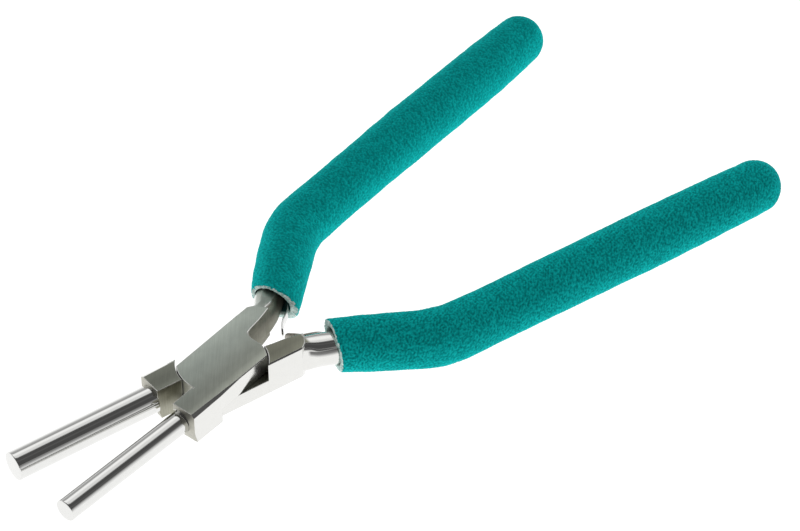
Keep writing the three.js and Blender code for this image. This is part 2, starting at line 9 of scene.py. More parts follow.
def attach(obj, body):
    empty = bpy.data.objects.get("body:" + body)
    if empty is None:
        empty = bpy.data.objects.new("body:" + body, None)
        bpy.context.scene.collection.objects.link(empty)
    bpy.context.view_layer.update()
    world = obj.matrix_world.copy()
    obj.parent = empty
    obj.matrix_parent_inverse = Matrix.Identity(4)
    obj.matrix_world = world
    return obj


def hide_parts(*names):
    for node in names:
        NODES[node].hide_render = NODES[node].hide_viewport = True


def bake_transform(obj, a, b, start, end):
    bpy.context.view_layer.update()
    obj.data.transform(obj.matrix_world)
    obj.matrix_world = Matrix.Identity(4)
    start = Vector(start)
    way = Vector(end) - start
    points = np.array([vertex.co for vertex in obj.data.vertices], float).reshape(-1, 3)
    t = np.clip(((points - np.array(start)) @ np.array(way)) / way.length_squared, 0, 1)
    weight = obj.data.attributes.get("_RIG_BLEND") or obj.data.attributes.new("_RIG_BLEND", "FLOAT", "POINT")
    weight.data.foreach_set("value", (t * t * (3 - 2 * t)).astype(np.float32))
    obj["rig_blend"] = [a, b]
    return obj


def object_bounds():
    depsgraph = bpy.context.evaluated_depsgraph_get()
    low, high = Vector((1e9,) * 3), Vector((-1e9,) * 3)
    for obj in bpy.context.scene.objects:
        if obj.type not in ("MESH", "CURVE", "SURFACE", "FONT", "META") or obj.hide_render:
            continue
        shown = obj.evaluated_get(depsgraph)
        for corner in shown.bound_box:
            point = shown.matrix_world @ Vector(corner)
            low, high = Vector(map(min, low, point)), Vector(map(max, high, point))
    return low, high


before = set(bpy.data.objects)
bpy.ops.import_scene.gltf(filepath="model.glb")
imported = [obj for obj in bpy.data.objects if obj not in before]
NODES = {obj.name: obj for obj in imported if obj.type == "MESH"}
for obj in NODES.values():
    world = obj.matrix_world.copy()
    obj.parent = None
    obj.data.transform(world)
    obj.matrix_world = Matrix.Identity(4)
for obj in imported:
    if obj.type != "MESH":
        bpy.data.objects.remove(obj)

CAD_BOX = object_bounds()
MM = 0.001
HALF_T = 5.9                 # half the thickness of the head, in mm
TURN = math.radians(7.07)    # each half is turned this far when open
HEAD_TOP = 0.0118            # plane of the upper plate, in metres
RNG_SEED = 20451


# ---------------------------------------------------------------------------
# camera, background and light
# ---------------------------------------------------------------------------
def make_camera():
    data = bpy.data.cameras.new("camera")
    data.sensor_fit = "HORIZONTAL"
    data.sensor_width = 36.0
    data.lens = 157.09
    data.clip_start = 0.05
    data.clip_end = 20.0
    cam = bpy.data.objects.new("camera", data)
    right = Vector((-0.726001, 0.687686, -0.003142)).normalized()
    forward = Vector((-0.504252, -0.535442, -0.677519)).normalized()
    right = (right - forward * right.dot(forward)).normalized()
    up = right.cross(forward)
    place = Vector((0.469537, 0.575701, 0.732523))
    cam.matrix_world = Matrix((
        (right.x, up.x, -forward.x, place.x),
        (right.y, up.y, -forward.y, place.y),
        (right.z, up.z, -forward.z, place.z),
        (0, 0, 0, 1),
    ))
    bpy.context.scene.collection.objects.link(cam)
    bpy.context.scene.camera = cam


class Graph:
    """Short names for building a node tree."""

    def __init__(self, tree):
        self.tree = tree
        tree.nodes.clear()

    def put(self, socket, value):
        if value is None:
            return
        if isinstance(value, bpy.types.NodeSocket):
            self.tree.links.new(value, socket)
        else:
            socket.default_value = value

    def new(self, kind, inputs=None, **props):
        n = self.tree.nodes.new(kind)
        for k, v in props.items():
            setattr(n, k, v)
        for k, v in (inputs or {}).items():
            self.put(n.inputs[k], v)
        return n

    def math(self, op, a, b=None, c=None, clamp=False):
        n = self.new("ShaderNodeMath", operation=op, use_clamp=clamp)
        for i, v in enumerate((a, b, c)):
            self.put(n.inputs[i], v)
        return n.outputs[0]

    def vec(self, op, a, b=None):
        n = self.new("ShaderNodeVectorMath", operation=op)
        for i, v in enumerate((a, b)):
            self.put(n.inputs[i], v)
        return n.outputs["Value"] if op in ("DOT_PRODUCT", "LENGTH", "DISTANCE") else n.outputs[0]

    def scale(self, v, k):
        n = self.new("ShaderNodeVectorMath", operation="SCALE")
        self.put(n.inputs[0], v)
        self.put(n.inputs["Scale"], k)
        return n.outputs[0]

    def step(self, x, lo, hi, a=0.0, b=1.0):
        """Smooth change from a to b while x runs from lo to hi."""
        n = self.new("ShaderNodeMapRange", interpolation_type="SMOOTHSTEP")
        for k, v in (("Value", x), ("From Min", lo), ("From Max", hi), ("To Min", a), ("To Max", b)):
            self.put(n.inputs[k], v)
        return n.outputs[0]

    def line(self, x, lo, hi, a=0.0, b=1.0):
        n = self.new("ShaderNodeMapRange", interpolation_type="LINEAR", clamp=True)
        for k, v in (("Value", x), ("From Min", lo), ("From Max", hi), ("To Min", a), ("To Max", b)):
            self.put(n.inputs[k], v)
        return n.outputs[0]

    def curve(self, x, points):
        """Value along straight pieces through (x, value) points."""
        x0, x1 = points[0][0], points[-1][0]
        n = self.new("ShaderNodeValToRGB", {"Fac": self.line(x, x0, x1)})
        el = n.color_ramp.elements
        for i, (a, v) in enumerate(points):
            f = (a - x0) / (x1 - x0)
            e = el[0] if i == 0 else el[-1] if i == len(points) - 1 else el.new(f)
            e.position = f
            e.color = (v, v, v, 1)
        n.color_ramp.interpolation = "EASE" if len(points) == 2 else "LINEAR"
        return self.new("ShaderNodeSeparateColor", {0: n.outputs[0]}).outputs[0]

    def mix(self, f, a, b, kind="RGBA", blend="MIX"):
        n = self.new("ShaderNodeMix", data_type=kind)
        if kind == "RGBA":
            n.blend_type = blend
            fac, ia, ib, out = 0, 6, 7, 2
        elif kind == "VECTOR":
            fac, ia, ib, out = 0, 4, 5, 1
        else:
            fac, ia, ib, out = 0, 2, 3, 0
        self.put(n.inputs[fac], f)
        self.put(n.inputs[ia], a)
        self.put(n.inputs[ib], b)
        return n.outputs[out]

    def noise(self, v, scale, detail=2.0, rough=0.5, distort=0.0):
        n = self.new("ShaderNodeTexNoise", {"Vector": v, "Scale": scale, "Detail": detail,
                                            "Roughness": rough, "Distortion": distort})
        return n.outputs["Fac"]

    def xyz(self, v):
        n = self.new("ShaderNodeSeparateXYZ", {0: v})
        return n.outputs[0], n.outputs[1], n.outputs[2]

    def join(self, x, y, z):
        return self.new("ShaderNodeCombineXYZ", {0: x, 1: y, 2: z}).outputs[0]

    def bump(self, height, distance, strength=1.0, normal=None):
        n = self.new("ShaderNodeBump", {"Height": height, "Distance": distance, "Strength": strength})
        if normal is not None:
            self.put(n.inputs["Normal"], normal)
        return n.outputs[0]


# The studio round the tool, by direction: P points along the floor to the
# front of the set, Q across it.
P_AXIS = (0.686, 0.728, 0.0)
Q_AXIS = (-0.728, 0.686, 0.0)


def make_world():
    world = bpy.data.worlds.new("studio")
    bpy.context.scene.world = world
    world.use_nodes = True
    g = Graph(world.node_tree)
    d = g.new("ShaderNodeTexCoord").outputs["Generated"]
    d = g.vec("NORMALIZE", d)
    p = g.vec("DOT_PRODUCT", d, P_AXIS)
    q = g.vec("DOT_PRODUCT", d, Q_AXIS)
    z = g.xyz(d)[2]
    zs = g.math("MAXIMUM", z, 0.02)
    pz = g.math("DIVIDE", p, zs)
    qz = g.math("DIVIDE", q, zs)
    # soft box over the far side of the set, brightest towards its far end
    box = g.step(g.math("SUBTRACT", -0.27, pz), -0.10, 0.10)
    box = g.math("MULTIPLY", box, g.step(pz, -1.60, -0.95))
    box = g.math("MULTIPLY", box, g.step(g.math("ABSOLUTE", qz), 0.95, 0.60))
    box = g.math("MULTIPLY", box, g.curve(pz, [(-1.3, 1.22), (-0.75, 1.20), (-0.60, 1.02), (-0.46, 0.88), (-0.30, 1.0), (-0.2, 1.0)]))
    # wall low behind the set
    far = g.curve(z, [(0.0, 1.02), (0.14, 0.80), (0.24, 0.66), (0.36, 0.50), (0.55, 0.42)])
    far = g.math("MULTIPLY", far, g.step(z, 0.75, 0.55))
    # white sweep in front and at the sides, fading upwards
    low = g.curve(p, [(-0.9, 0.60), (0.15, 0.036), (0.55, -0.18), (0.95, -0.52)])
    high = g.curve(p, [(-0.9, 0.90), (0.15, 0.598), (0.55, 0.66), (0.95, 0.32)])
    t = g.math("DIVIDE", g.math("SUBTRACT", z, low), g.math("SUBTRACT", high, low), clamp=True)
    front = g.step(t, 0.0, 1.0, 1.0, 0.0)
    strip_low = g.math("MULTIPLY_ADD", p, 0.40, 0.06)
    strip = g.math("MULTIPLY", g.step(p, 0.35, 0.47),
                   g.math("MULTIPLY", g.step(g.math("SUBTRACT", z, strip_low), 0.0, 0.08), g.step(z, 0.58, 0.50)))
    front = g.math("MAXIMUM", front, g.math("MULTIPLY", strip, 0.30))
    streak = g.math("MULTIPLY", g.step(pz, 0.04, 0.12), g.step(pz, 0.26, 0.18))
    ahead = g.step(p, -0.80, -0.40)
    round_ = g.mix(ahead, far, front, kind="FLOAT")
    light = g.math("MAXIMUM", g.math("MULTIPLY_ADD", streak, 0.035, 0.085), round_)
    light = g.math("MAXIMUM", light, box)
    bg = g.new("ShaderNodeBackground", {"Color": (1.0, 1.0, 1.0, 1.0), "Strength": light})
    g.new("ShaderNodeOutputWorld", {"Surface": bg.outputs[0]})


def make_floor():
    me = bpy.data.meshes.new("floor")
    r, z = 4.0, CAD_BOX[0].z - 0.0001
    me.from_pydata([(-r, -r, z), (r, -r, z), (r, r, z), (-r, r, z)], [], [(0, 1, 2, 3)])
    floor = bpy.data.objects.new("floor", me)
    bpy.context.scene.collection.objects.link(floor)
    mat = bpy.data.materials.new("floor_light_table")
    mat.use_nodes = True
    g = Graph(mat.node_tree)
    at = g.new("ShaderNodeTexCoord").outputs["Object"]
    soft = g.noise(at, 3.0, 1.0)
    glow = g.new("ShaderNodeEmission", {"Color": (1.0, 1.0, 1.0, 1.0),
                                        "Strength": g.line(soft, 0.3, 0.7, 1.17, 1.21)})
    g.new("ShaderNodeOutputMaterial", {"Surface": glow.outputs[0]})
    me.materials.append(mat)


# ---------------------------------------------------------------------------
# mesh helpers, all in millimetres until the last step
# ---------------------------------------------------------------------------
def centripetal(points, per=120):
    """Dense points on the centripetal Catmull-Rom curve, with their arc lengths."""
    pts = np.array(points, float)
    first, last = 2 * pts[0] - pts[1], 2 * pts[-1] - pts[-2]
    ext = np.vstack([first, pts, last])
    out = []
    for i in range(len(pts) - 1):
        p0, p1, p2, p3 = ext[i:i + 4]
        d0, d1, d2 = (np.linalg.norm(b - a) ** 0.5 for a, b in ((p0, p1), (p1, p2), (p2, p3)))
        t1 = ((p1 - p0) / d0 - (p2 - p0) / (d0 + d1) + (p2 - p1) / d1) * d1
        t2 = ((p2 - p1) / d1 - (p3 - p1) / (d1 + d2) + (p3 - p2) / d2) * d1
        t = np.linspace(0, 1, per, endpoint=False)[:, None]
        out.append(p1 + t1 * t + (-3 * p1 + 3 * p2 - 2 * t1 - t2) * t ** 2 + (2 * p1 - 2 * p2 + t1 + t2) * t ** 3)
    out = np.vstack(out + [pts[-1:]])
    seg = np.linalg.norm(np.diff(out, axis=0), axis=1)
    return out, np.concatenate([[0], np.cumsum(seg)])


class Line:
    """A plan curve read by arc length."""

    def __init__(self, points):
        self.p, self.l = centripetal(points)
        self.length = self.l[-1]

    def at(self, s):
        return np.stack([np.interp(s, self.l, self.p[:, k]) for k in range(2)], -1)

    def heading(self, s):
        a, b = self.at(np.clip(np.asarray(s) - 0.4, 0, self.length)), self.at(np.clip(np.asarray(s) + 0.4, 0, self.length))
        d = b - a
        return np.arctan2(d[..., 1], d[..., 0])

    def where_x(self, x):
        return np.interp(-x, -self.p[:, 0], self.l)


def place(points, s=0):
    """Millimetres in a half's own closed frame to metres in the row frame."""
    p = np.asarray(points, float)
    c, d = math.cos(s * TURN), math.sin(s * TURN)
    x = p[..., 0] * c - p[..., 1] * d
    y = p[..., 0] * d + p[..., 1] * c
    return np.stack([x, y, p[..., 2] + HALF_T], -1) * MM


def mesh_object(name, points, faces, smooth=True, sharp=None):
    me = bpy.data.meshes.new(name)
    me.from_pydata([tuple(p) for p in points], [], [tuple(int(i) for i in f) for f in faces])
    me.update()
    me.validate()
    ob = bpy.data.objects.new(name, me)
    bpy.context.scene.collection.objects.link(ob)
    me.polygons.foreach_set("use_smooth", [smooth] * len(me.polygons))
    if sharp is not None:
        me.set_sharp_from_angle(angle=math.radians(sharp))
    return ob


def grid_faces(rows, cols, start=0, flip=False):
    """Faces of a tube of rows rings with cols points each."""
    i = np.arange(rows - 1)[:, None] * cols
    j = np.arange(cols)[None, :]
    a = start + i + j
    b = start + i + (j + 1) % cols
    quads = np.stack([a, b, b + cols, a + cols], -1).reshape(-1, 4)
    return quads[:, ::-1] if flip else quads


def smoothstep(t):
    t = np.clip(t, 0, 1)
    return t * t * (3 - 2 * t)


class Waves:
    """Isotropic random field made of plane waves of a band of lengths."""

    def __init__(self, seed, low, high, n=150):
        rng = np.random.default_rng(seed)
        k = rng.normal(size=(n, 3))
        k /= np.linalg.norm(k, axis=1, keepdims=True)
        self.k = (k * (2 * np.pi / rng.uniform(low, high, n))[:, None]).astype(np.float32)
        self.phase = rng.uniform(0, 2 * np.pi, n).astype(np.float32)
        self.gain = np.float32(math.sqrt(2.0 / n))

    def __call__(self, p):
        p = np.asarray(p, np.float32)
        out = np.zeros(len(p), np.float32)
        for a in range(0, len(p), 20000):
            out[a:a + 20000] = np.cos(p[a:a + 20000] @ self.k.T + self.phase).sum(1) * self.gain
        return out


# ---------------------------------------------------------------------------
# materials
# ---------------------------------------------------------------------------
def new_material(name):
    mat = bpy.data.materials.new(name)
    mat.use_nodes = True
    return mat, Graph(mat.node_tree)


def forged_steel(name, sign):
    """Satin brushed on the flat faces and inner walls, polished round the sides and shanks."""
    mat, g = new_material(name)
    at = g.new("ShaderNodeTexCoord").outputs["Object"]
    x, y, z = g.xyz(at)
    normal = g.new("ShaderNodeNewGeometry").outputs["Normal"]
    soft = g.new("ShaderNodeBevel", {"Radius": 0.00016}, samples=6).outputs[0]
    nx, ny, nz = g.xyz(g.new("ShaderNodeTexCoord").outputs["Normal"])
    worn = g.step(g.math("SUBTRACT", 1.0, g.vec("DOT_PRODUCT", soft, normal)), 0.012, 0.10)
    # own frame of the half
    c, s = math.cos(TURN), math.sin(TURN) * sign
    own_x = g.math("ADD", g.math("MULTIPLY", x, c), g.math("MULTIPLY", y, s))
    own_y = g.math("ADD", g.math("MULTIPLY", x, -s), g.math("MULTIPLY", y, c))
    inward = g.math("MULTIPLY", g.math("ADD", g.math("MULTIPLY", nx, -s), g.math("MULTIPLY", ny, c)), sign)
    # brushing runs across the head at a slant
    ca, sa = math.cos(math.radians(46.0)), math.sin(math.radians(46.0))
    along = g.math("ADD", g.math("MULTIPLY", x, ca), g.math("MULTIPLY", y, sa))
    across = g.math("ADD", g.math("MULTIPLY", x, -sa), g.math("MULTIPLY", y, ca))
    fine = g.noise(g.join(g.math("MULTIPLY", along, 110.0), g.math("MULTIPLY", across, 5200.0), g.math("MULTIPLY", z, 900.0)), 1.0, 3.0, 0.6)
    broad = g.noise(g.join(g.math("MULTIPLY", along, 60.0), g.math("MULTIPLY", across, 1100.0), g.math("MULTIPLY", z, 300.0)), 1.0, 2.0, 0.5)
    lines = g.math("ADD", g.math("MULTIPLY", fine, 0.6), g.math("MULTIPLY", broad, 0.4))
    cloud = g.noise(at, 240.0, 3.0, 0.55)
    # inner walls: ground upwards, so the lines stand on end
    upright = g.noise(g.join(g.math("MULTIPLY", own_x, 3600.0), g.math("MULTIPLY", own_y, 3600.0), g.math("MULTIPLY", z, 130.0)), 1.0, 3.0, 0.6)
    smear = g.noise(at, 420.0, 4.0, 0.6)
    stray = g.noise(g.join(g.math("MULTIPLY", own_x, 2600.0), g.math("MULTIPLY", own_y, 260.0), g.math("MULTIPLY", z, 800.0)), 1.0, 2.0, 0.5)

    flat = g.step(g.math("ABSOLUTE", nz), 0.94, 0.985)
    rear_wall = g.math("MULTIPLY", g.step(inward, 0.35, 0.6), g.step(own_x, -0.0135, -0.0150))
    jaw_wall = g.math("MULTIPLY", g.step(inward, -0.75, -0.9), g.step(own_x, 0.0135, 0.0145))
    jaw_wall = g.math("MULTIPLY", jaw_wall, g.step(g.math("ABSOLUTE", own_y), 0.006, 0.004))
    wall = g.math("MAXIMUM", rear_wall, jaw_wall)
    wall = g.math("MULTIPLY", wall, g.math("SUBTRACT", 1.0, flat))
    keen = g.math("SUBTRACT", 1.0, worn)
    hazy = g.math("MULTIPLY", g.step(inward, 0.8, 0.95), g.step(own_x, 0.000, -0.009))
    if sign > 0:
        over = g.math("MULTIPLY", g.step(nz, 0.42, 0.62), g.step(own_x, -0.0235, -0.0250))
        over = g.math("MULTIPLY", over, g.step(inward, 0.22, 0.08))
        flat = g.math("MAXIMUM", flat, over)
        keen = g.math("MAXIMUM", keen, g.step(own_x, -0.0250, -0.0265))
    if sign < 0:
        # the lower half's shank is polished all round
        flat = g.math("MULTIPLY", flat, g.step(own_x, -0.0262, -0.0250))
    flat = g.math("MULTIPLY", flat, keen)
    wall = g.math("MULTIPLY", wall, keen)
    # turned walls round the joint, in front
    radius = g.vec("LENGTH", g.join(x, y, 0.0))
    turned = g.math("MULTIPLY", g.step(radius, 0.0132, 0.0134), g.step(radius, 0.0143, 0.0141))
    turned = g.math("MULTIPLY", turned, g.step(g.math("ABSOLUTE", nz), 0.5, 0.3))
    # only where the wall faces the joint's axis or away from it
    radial = g.math("DIVIDE", g.math("ABSOLUTE", g.math("ADD", g.math("MULTIPLY", nx, x), g.math("MULTIPLY", ny, y))), radius)
    turned = g.math("MULTIPLY", turned, g.step(radial, 0.80, 0.92))
    if sign > 0:
        where = g.math("MULTIPLY", g.step(own_x, 0.006, 0.008), g.step(own_y, 0.003, 0.001))
    else:
        where = g.math("MULTIPLY", g.step(own_x, 0.006, 0.008), g.step(own_y, -0.006, -0.004))
        where = g.math("MAXIMUM", where, g.step(own_x, -0.006, -0.008))
    turned = g.math("MULTIPLY", turned, where)
    # front faces of the jaw, ground but not polished
    forward = g.math("ADD", g.math("MULTIPLY", nx, c), g.math("MULTIPLY", ny, s))
    nose = g.math("MULTIPLY", g.step(forward, 0.80, 0.93), g.step(own_x, 0.0195, 0.0205))

    mm = lambda pts: [(q * MM, v) for q, v in pts]
    # painted light: the satin faces' tone changes with position over the head, lighter towards the rear, standing in
    # for uneven light from the set
    if sign > 0:
        painted_light_tone = g.curve(own_y, mm([(-10.0, 0.41), (-8.0, 0.385), (-4.0, 0.315), (0.0, 0.285), (3.5, 0.245), (6.0, 0.258), (7.6, 0.34), (8.6, 0.38), (10.0, 0.38)]))
        painted_light_tone = g.math("MULTIPLY", painted_light_tone, g.line(own_x, -0.012, 0.020, 1.10, 0.85))
        painted_light_tone = g.mix(g.step(own_x, -0.015, -0.026), painted_light_tone, 0.37, kind="FLOAT")
        cool = g.line(own_y, -0.003, 0.008)
        green, blue = g.line(cool, 0.0, 1.0, 1.10, 1.05), g.line(cool, 0.0, 1.0, 0.99, 0.91)
    else:
        painted_light_tone = g.curve(own_y, mm([(-9.2, 0.225), (-7.0, 0.20), (-5.0, 0.175), (-3.0, 0.178), (-1.2, 0.225), (-0.5, 0.24), (4.0, 0.20), (6.0, 0.178), (8.6, 0.225), (9.6, 0.25)]))
        painted_light_tone = g.math("MULTIPLY", painted_light_tone, g.line(own_x, -0.024, -0.015, 1.12, 0.92))
        cool = g.line(own_x, 0.0, -0.010)
        green, blue = g.line(cool, 0.0, 1.0, 1.05, 1.01), g.line(cool, 0.0, 1.0, 0.88, 0.80)
    tone = g.math("MULTIPLY", painted_light_tone, g.line(lines, 0.25, 0.75, 0.80, 1.20))
    tone = g.math("MULTIPLY", tone, g.line(cloud, 0.3, 0.7, 0.95, 1.05))
    satin = g.new("ShaderNodeCombineColor", {0: tone, 1: g.math("MULTIPLY", tone, green), 2: g.math("MULTIPLY", tone, blue)}).outputs[0]
    tone = g.math("MULTIPLY", g.line(upright, 0.25, 0.75, 0.30, 0.44), g.line(cloud, 0.3, 0.7, 0.9, 1.1))
    tone = g.math("MULTIPLY", tone, g.mix(g.step(own_x, -0.010, -0.013), 0.95, 0.70, kind="FLOAT"))
    inner = g.new("ShaderNodeCombineColor", {0: tone, 1: g.math("MULTIPLY", tone, 0.985), 2: g.math("MULTIPLY", tone, 0.80)}).outputs[0]
    polish = g.scale((0.73, 0.728, 0.706), g.line(smear, 0.3, 0.75, 0.97, 1.0))
    if sign < 0:
        # painted reflection: a dark band along the outer side of the lower shank, standing in for the dark part of the
        # set mirrored there
        painted_dark_band = g.math("MULTIPLY", g.step(z, 0.0076, 0.0091), g.step(z, 0.0098, 0.0096))
        painted_dark_band = g.math("MULTIPLY", painted_dark_band, g.math("MULTIPLY", g.step(own_x, -0.0238, -0.0248), g.step(inward, 0.0, -0.2)))
        polish = g.scale(polish, g.line(painted_dark_band, 0.0, 1.0, 1.0, 0.20))
        # the broken edge of the jaw's shoulder is filed, not polished
        filed = g.math("MULTIPLY", g.step(nz, 0.50, 0.60), g.math("MULTIPLY", g.step(own_x, 0.0090, 0.0095), g.step(own_x, 0.0140, 0.0130)))
        filed = g.math("MULTIPLY", filed, g.step(own_y, -0.0052, -0.0058))
        polish = g.mix(filed, polish, (0.36, 0.37, 0.34, 1.0))
    colour = g.mix(wall, g.mix(flat, polish, satin), inner)
    # painted light: the upper half's turned walls in front of the joint are painted four times lighter; the lower
    # half's are 1.6 times lighter behind it
    painted_light_front, rear_tone = (4.0, 1.0) if sign > 0 else (1.0, 1.6)
    grey = g.scale((0.15, 0.152, 0.138), g.math("MULTIPLY", g.line(lines, 0.25, 0.75, 0.9, 1.1), g.step(own_x, -0.005, 0.005, rear_tone, painted_light_front)))
    colour = g.mix(turned, colour, grey)
    blunt = g.scale((0.47, 0.462, 0.405), g.line(smear, 0.3, 0.7, 0.86, 1.08))
    colour = g.mix(nose, colour, blunt)
    rough = g.mix(flat, g.line(smear, 0.3, 0.75, 0.08, 0.13), g.line(lines, 0.2, 0.8, 0.30, 0.46), kind="FLOAT")
    rough = g.mix(wall, rough, g.line(upright, 0.2, 0.8, 0.34, 0.50), kind="FLOAT")
    if sign > 0:
        rough = g.math("ADD", rough, g.math("MULTIPLY", hazy, 0.20))
    rough = g.mix(turned, rough, 0.34 if sign < 0 else 0.5, kind="FLOAT")
    rough = g.mix(nose, rough, 0.42, kind="FLOAT")
    n = g.mix(flat, g.bump(stray, 0.000004, 0.3, soft), g.bump(lines, 0.000025, 0.5, soft), kind="VECTOR")
    n = g.mix(wall, n, g.bump(upright, 0.00003, 0.6, soft), kind="VECTOR")
    bsdf = g.new("ShaderNodeBsdfPrincipled", {"Base Color": colour, "Metallic": 1.0, "Roughness": rough, "Normal": n})
    g.new("ShaderNodeOutputMaterial", {"Surface": bsdf.outputs[0]})
    return mat


def polished_steel(name, colour=(0.73, 0.73, 0.715, 1.0), rough=(0.06, 0.10), scratch=0.3):
    mat, g = new_material(name)
    at = g.new("ShaderNodeTexCoord").outputs["Object"]
    x, y, z = g.xyz(at)
    rings = g.noise(g.join(g.math("MULTIPLY", x, 4200.0), g.math("MULTIPLY", y, 260.0), g.math("MULTIPLY", z, 260.0)), 1.0, 3.0, 0.6)
    smear = g.noise(at, 300.0, 4.0, 0.6)
    tone = g.line(smear, 0.3, 0.7, 0.96, 1.0)
    base = g.scale(colour[:3], tone)
    n = g.bump(rings, 0.000004, scratch)
    bsdf = g.new("ShaderNodeBsdfPrincipled", {"Base Color": base, "Metallic": 1.0,
                                              "Roughness": g.line(smear, 0.3, 0.7, rough[0], rough[1]), "Normal": n})
    g.new("ShaderNodeOutputMaterial", {"Surface": bsdf.outputs[0]})
    return mat


def foam_material(name, sign):
    mat, g = new_material(name)
    at = g.new("ShaderNodeTexCoord").outputs["Object"]
    pile = g.new("ShaderNodeAttribute", attribute_name="pile").outputs["Fac"]
    cut = g.new("ShaderNodeAttribute", attribute_name="cut").outputs["Fac"]
    painted_bore_shade = g.new("ShaderNodeAttribute", attribute_name="painted_bore_shade").outputs["Fac"]
    grit = g.noise(at, 2600.0, 3.0, 0.65)
    blot = g.noise(at, 260.0, 3.0, 0.6)
    level = g.math("ADD", g.math("MULTIPLY", pile, 0.65), g.math("MULTIPLY", g.line(grit, 0.3, 0.7), 0.35))
    if sign < 0:
        # the lower sleeve's grain lies rougher; its outer side is darkened below, painted shade
        level = g.math("MULTIPLY_ADD", level, 1.35, -0.175)
    ramp = g.new("ShaderNodeValToRGB", {"Fac": level})
    el = ramp.color_ramp.elements
    el[0].position, el[0].color = 0.12, (0.0008, 0.26, 0.255, 1)
    el[1].position, el[1].color = 0.88, (0.008, 0.70, 0.675, 1)
    mid = el.new(0.5)
    mid.color = (0.002, 0.46, 0.452, 1)
    colour = g.mix(1.0, ramp.outputs[0], g.scale((1.0, 1.0, 1.0), g.line(blot, 0.25, 0.75, 0.9, 1.1)), blend="MULTIPLY")
    if sign < 0:
        # painted shade and light: darker where the sleeve faces down and out, a little lighter where it faces up
        down_facing = g.vec("DOT_PRODUCT", g.new("ShaderNodeTexCoord").outputs["Normal"], (0.112, 0.738, -0.665))
        painted_side_shade = g.curve(down_facing, [(-1.0, 1.12), (-0.7, 1.10), (-0.3, 0.93), (0.1, 0.79), (0.6, 0.75), (0.85, 0.80), (1.0, 0.95)])
        colour = g.scale(colour, painted_side_shade)
    raw = g.noise(at, 1500.0, 3.0, 0.7)
    coarse = g.noise(at, 620.0, 3.0, 0.65)
    edge = g.new("ShaderNodeValToRGB", {"Fac": g.math("ADD", g.math("MULTIPLY", raw, 0.5), g.math("MULTIPLY", coarse, 0.5))})
    ee = edge.color_ramp.elements
    ee[0].position, ee[0].color = 0.34, (0.22, 0.40, 0.37, 1)
    ee[1].position, ee[1].color = 0.56, (0.84, 0.95, 0.90, 1)
    blend = g.step(g.math("ADD", cut, g.line(coarse, 0.3, 0.7, -0.35, 0.35)), 0.35, 0.65)
    colour = g.mix(blend, colour, edge.outputs[0])
    # painted shade: the bore inside the sleeve is painted near black
    colour = g.mix(painted_bore_shade, colour, (0.02, 0.035, 0.034, 1.0))
    n = g.bump(grit, 0.00010, 0.5)
    bsdf = g.new("ShaderNodeBsdfPrincipled", {"Base Color": colour, "Roughness": g.line(grit, 0.3, 0.7, 0.85, 1.0),
                                              "Normal": n, "Specular IOR Level": 0.04,
                                              "Sheen Weight": 0.34, "Sheen Roughness": 0.5, "Sheen Tint": (0.0, 0.75, 0.73, 1.0)})
    g.new("ShaderNodeOutputMaterial", {"Surface": bsdf.outputs[0]})
    return mat


# ---------------------------------------------------------------------------
# the two forged halves
# ---------------------------------------------------------------------------
def dress(ob, mat, smooth_angle=28):
    me = ob.data
    me.materials.clear()
    me.materials.append(mat)
    for p in me.polygons:
        p.material_index = 0


def close_rivet_hole(bm):
    """Take out the rivet's hole in the upper lap, and close its two rims."""
    gone = []
    for f in bm.faces:
        if all(math.hypot(v.co.x, v.co.y) < 0.0042 and 0.0045 < v.co.z < 0.0119 for v in f.verts) and abs(f.normal.z) < 0.95:
            gone.append(f)
    bmesh.ops.delete(bm, geom=gone, context="FACES")
    rims = [e for e in bm.edges if e.is_boundary]
    bmesh.ops.holes_fill(bm, edges=rims, sides=0)


def flat_faces(me):
    """Faces that belong to a large flat area, which is shaded flat."""
    groups = {}
    for p in me.polygons:
        n = p.normal
        key = (round(n.x, 2), round(n.y, 2), round(n.z, 2), round(n.dot(p.center) * 1e5))
        groups.setdefault(key, []).append(p)
    out = set()
    for ps in groups.values():
        if sum(p.area for p in ps) > 5e-6:
            out.update(p.index for p in ps)
    return out


def crease_flats(me):
    """Sharp edges round every ground flat, also where it meets a round side softly."""
    bm = bmesh.new()
    bm.from_mesh(me)
    for e in bm.edges:
        if len(e.link_faces) == 2:
            a, b = sorted(abs(f.normal.z) for f in e.link_faces)
            if b > 0.985 and a < 0.965:
                e.smooth = False
    bm.to_mesh(me)
    bm.free()


def forged_copy(node, body, mat, name):
    """The CAD solid as a clean mesh: welded, its flat faces joined, smooth where it is round."""
    src = NODES[node]
    me = src.data.copy()
    me.name = name
    bm = bmesh.new()
    bm.from_mesh(me)
    bmesh.ops.remove_doubles(bm, verts=bm.verts, dist=0.000002)
    bmesh.ops.dissolve_degenerate(bm, edges=bm.edges, dist=0.000002)
    if node == "top_half":
        close_rivet_hole(bm)
    bmesh.ops.recalc_face_normals(bm, faces=bm.faces)
    bmesh.ops.dissolve_limit(bm, angle_limit=math.radians(0.6), use_dissolve_boundaries=False,
                             verts=bm.verts, edges=bm.edges, delimit={"NORMAL"})
    bmesh.ops.triangulate(bm, faces=[f for f in bm.faces if len(f.verts) > 4])
    bm.to_mesh(me)
    bm.free()
    for a in list(me.attributes):
        if a.name in ("custom_normal", "sharp_edge", "sharp_face"):
            me.attributes.remove(a)
    me.materials.clear()
    me.materials.append(mat)
    flat = flat_faces(me)
    me.polygons.foreach_set("use_smooth", [i not in flat for i in range(len(me.polygons))])
    me.set_sharp_from_angle(angle=math.radians(24))
    crease_flats(me)
    ob = bpy.data.objects.new(name, me)
    bpy.context.scene.collection.objects.link(ob)
    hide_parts(node)
    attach(ob, body)
    return ob


